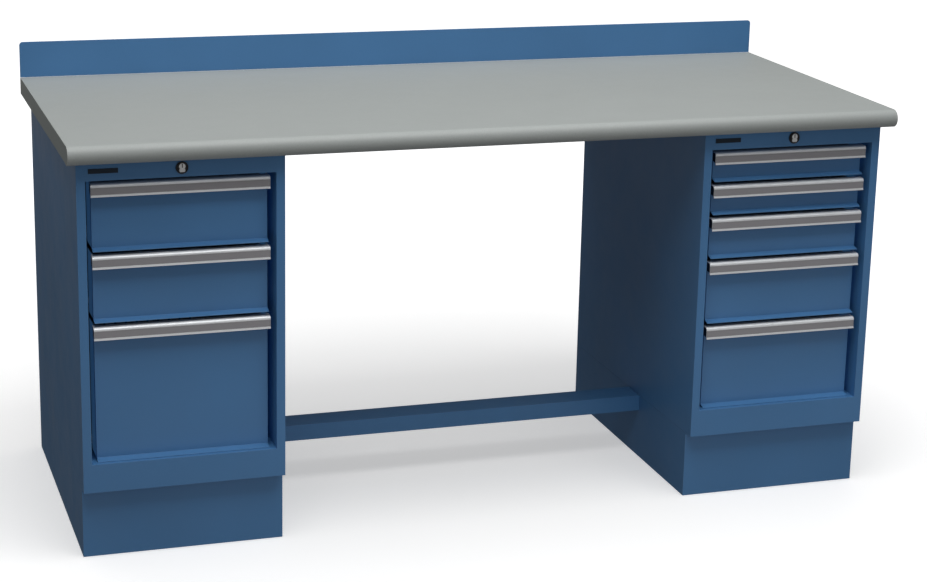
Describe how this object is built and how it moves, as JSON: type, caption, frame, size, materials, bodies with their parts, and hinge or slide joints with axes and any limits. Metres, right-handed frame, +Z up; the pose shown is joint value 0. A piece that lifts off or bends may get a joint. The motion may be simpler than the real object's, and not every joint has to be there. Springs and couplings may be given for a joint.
{
  "type": "workbench with drawers",
  "caption": "Workbench: a laminate worktop with a low backstop on two lockable drawer cabinets, which stand on recessed plinths joined by a rail.",
  "frame": {"origin": "on the floor, under the middle of the worktop", "axes": "+Z up, +X to the right along the worktop, the drawers open towards -Y"},
  "size_m": [1.8288, 0.779, 0.9723],
  "materials": {
    "worktop_laminate": "fine-textured grey plastic laminate",
    "cabinet_paint": "satin blue powder coat",
    "drawer_paint": "satin blue powder coat",
    "handle_aluminium": "brushed and clear anodised",
    "tray_paint": "light grey powder coat",
    "runner_steel": "bright zinc plate",
    "lock_metal": "satin nickel plate",
    "lock_ring": "black moulded plastic",
    "nameplate": "dark blank plate"
  },
  "bodies": {
    "bench": {"worktop": "worktop_laminate", "backstop": "cabinet_paint", "stringer": "cabinet_paint", "left_base": "cabinet_paint", "left_housing": "cabinet_paint", "left_rack_l": "runner_steel", "left_rack_r": "runner_steel", "left_nameplate": "nameplate", "left_lock_ring": "lock_ring", "right_base": "cabinet_paint", "right_housing": "cabinet_paint", "right_rack_l": "runner_steel", "right_rack_r": "runner_steel", "right_nameplate": "nameplate", "right_lock_ring": "lock_ring"},
    "left_lock": {"left_lock_cylinder": "lock_metal"},
    "left_lock_bar_body": {"left_lock_bar": "runner_steel"},
    "left_drawer_1": {"left_drawer_1_front": "drawer_paint", "left_drawer_1_handle": "handle_aluminium", "left_drawer_1_tray": "tray_paint"},
    "left_drawer_1_runners": {"left_drawer_1_runner_l": "runner_steel", "left_drawer_1_runner_r": "runner_steel"},
    "left_drawer_2": {"left_drawer_2_front": "drawer_paint", "left_drawer_2_handle": "handle_aluminium", "left_drawer_2_tray": "tray_paint"},
    "left_drawer_2_runners": {"left_drawer_2_runner_l": "runner_steel", "left_drawer_2_runner_r": "runner_steel"},
    "left_drawer_3": {"left_drawer_3_front": "drawer_paint", "left_drawer_3_handle": "handle_aluminium", "left_drawer_3_tray": "tray_paint"},
    "left_drawer_3_runners": {"left_drawer_3_runner_l": "runner_steel", "left_drawer_3_runner_r": "runner_steel"},
    "right_lock": {"right_lock_cylinder": "lock_metal"},
    "right_lock_bar_body": {"right_lock_bar": "runner_steel"},
    "right_drawer_1": {"right_drawer_1_front": "drawer_paint", "right_drawer_1_handle": "handle_aluminium", "right_drawer_1_tray": "tray_paint"},
    "right_drawer_1_runners": {"right_drawer_1_runner_l": "runner_steel", "right_drawer_1_runner_r": "runner_steel"},
    "right_drawer_2": {"right_drawer_2_front": "drawer_paint", "right_drawer_2_handle": "handle_aluminium", "right_drawer_2_tray": "tray_paint"},
    "right_drawer_2_runners": {"right_drawer_2_runner_l": "runner_steel", "right_drawer_2_runner_r": "runner_steel"},
    "right_drawer_3": {"right_drawer_3_front": "drawer_paint", "right_drawer_3_handle": "handle_aluminium", "right_drawer_3_tray": "tray_paint"},
    "right_drawer_3_runners": {"right_drawer_3_runner_l": "runner_steel", "right_drawer_3_runner_r": "runner_steel"},
    "right_drawer_4": {"right_drawer_4_front": "drawer_paint", "right_drawer_4_handle": "handle_aluminium", "right_drawer_4_tray": "tray_paint"},
    "right_drawer_4_runners": {"right_drawer_4_runner_l": "runner_steel", "right_drawer_4_runner_r": "runner_steel"},
    "right_drawer_5": {"right_drawer_5_front": "drawer_paint", "right_drawer_5_handle": "handle_aluminium", "right_drawer_5_tray": "tray_paint"},
    "right_drawer_5_runners": {"right_drawer_5_runner_l": "runner_steel", "right_drawer_5_runner_r": "runner_steel"}
  },
  "joints": [
    {"name": "left_lock_turn", "type": "hinge", "parent": "bench", "child": "left_lock", "pos_m": [-0.68125, -0.3508, 0.8321], "axis": [0, 1, 0], "range_deg": [0, 90]},
    {"name": "left_lock_bar_slide", "type": "slide", "parent": "bench", "child": "left_lock_bar_body", "axis": [0, 0, -1], "range_m": [0, 0.01]},
    {"name": "left_drawer_1_slide", "type": "slide", "parent": "bench", "child": "left_drawer_1", "axis": [0, -1, 0], "range_m": [0, 0.6]},
    {"name": "left_drawer_1_runner_slide", "type": "slide", "parent": "bench", "child": "left_drawer_1_runners", "axis": [0, -1, 0], "range_m": [0, 0.3]},
    {"name": "left_drawer_2_slide", "type": "slide", "parent": "bench", "child": "left_drawer_2", "axis": [0, -1, 0], "range_m": [0, 0.6]},
    {"name": "left_drawer_2_runner_slide", "type": "slide", "parent": "bench", "child": "left_drawer_2_runners", "axis": [0, -1, 0], "range_m": [0, 0.3]},
    {"name": "left_drawer_3_slide", "type": "slide", "parent": "bench", "child": "left_drawer_3", "axis": [0, -1, 0], "range_m": [0, 0.6]},
    {"name": "left_drawer_3_runner_slide", "type": "slide", "parent": "bench", "child": "left_drawer_3_runners", "axis": [0, -1, 0], "range_m": [0, 0.3]},
    {"name": "right_lock_turn", "type": "hinge", "parent": "bench", "child": "right_lock", "pos_m": [0.68125, -0.3508, 0.8321], "axis": [0, 1, 0], "range_deg": [0, 90]},
    {"name": "right_lock_bar_slide", "type": "slide", "parent": "bench", "child": "right_lock_bar_body", "axis": [0, 0, -1], "range_m": [0, 0.01]},
    {"name": "right_drawer_1_slide", "type": "slide", "parent": "bench", "child": "right_drawer_1", "axis": [0, -1, 0], "range_m": [0, 0.6]},
    {"name": "right_drawer_1_runner_slide", "type": "slide", "parent": "bench", "child": "right_drawer_1_runners", "axis": [0, -1, 0], "range_m": [0, 0.3]},
    {"name": "right_drawer_2_slide", "type": "slide", "parent": "bench", "child": "right_drawer_2", "axis": [0, -1, 0], "range_m": [0, 0.6]},
    {"name": "right_drawer_2_runner_slide", "type": "slide", "parent": "bench", "child": "right_drawer_2_runners", "axis": [0, -1, 0], "range_m": [0, 0.3]},
    {"name": "right_drawer_3_slide", "type": "slide", "parent": "bench", "child": "right_drawer_3", "axis": [0, -1, 0], "range_m": [0, 0.6]},
    {"name": "right_drawer_3_runner_slide", "type": "slide", "parent": "bench", "child": "right_drawer_3_runners", "axis": [0, -1, 0], "range_m": [0, 0.3]},
    {"name": "right_drawer_4_slide", "type": "slide", "parent": "bench", "child": "right_drawer_4", "axis": [0, -1, 0], "range_m": [0, 0.6]},
    {"name": "right_drawer_4_runner_slide", "type": "slide", "parent": "bench", "child": "right_drawer_4_runners", "axis": [0, -1, 0], "range_m": [0, 0.3]},
    {"name": "right_drawer_5_slide", "type": "slide", "parent": "bench", "child": "right_drawer_5", "axis": [0, -1, 0], "range_m": [0, 0.6]},
    {"name": "right_drawer_5_runner_slide", "type": "slide", "parent": "bench", "child": "right_drawer_5_runners", "axis": [0, -1, 0], "range_m": [0, 0.3]}
  ],
  "couplings": [
    {"joint": "left_lock_turn", "follows": "left_lock_bar_slide", "rad_per_m": 157.08},
    {"joint": "left_drawer_1_runner_slide", "follows": "left_drawer_1_slide", "ratio": 0.5},
    {"joint": "left_drawer_2_runner_slide", "follows": "left_drawer_2_slide", "ratio": 0.5},
    {"joint": "left_drawer_3_runner_slide", "follows": "left_drawer_3_slide", "ratio": 0.5},
    {"joint": "right_lock_turn", "follows": "right_lock_bar_slide", "rad_per_m": 157.08},
    {"joint": "right_drawer_1_runner_slide", "follows": "right_drawer_1_slide", "ratio": 0.5},
    {"joint": "right_drawer_2_runner_slide", "follows": "right_drawer_2_slide", "ratio": 0.5},
    {"joint": "right_drawer_3_runner_slide", "follows": "right_drawer_3_slide", "ratio": 0.5},
    {"joint": "right_drawer_4_runner_slide", "follows": "right_drawer_4_slide", "ratio": 0.5},
    {"joint": "right_drawer_5_runner_slide", "follows": "right_drawer_5_slide", "ratio": 0.5}
  ]
}
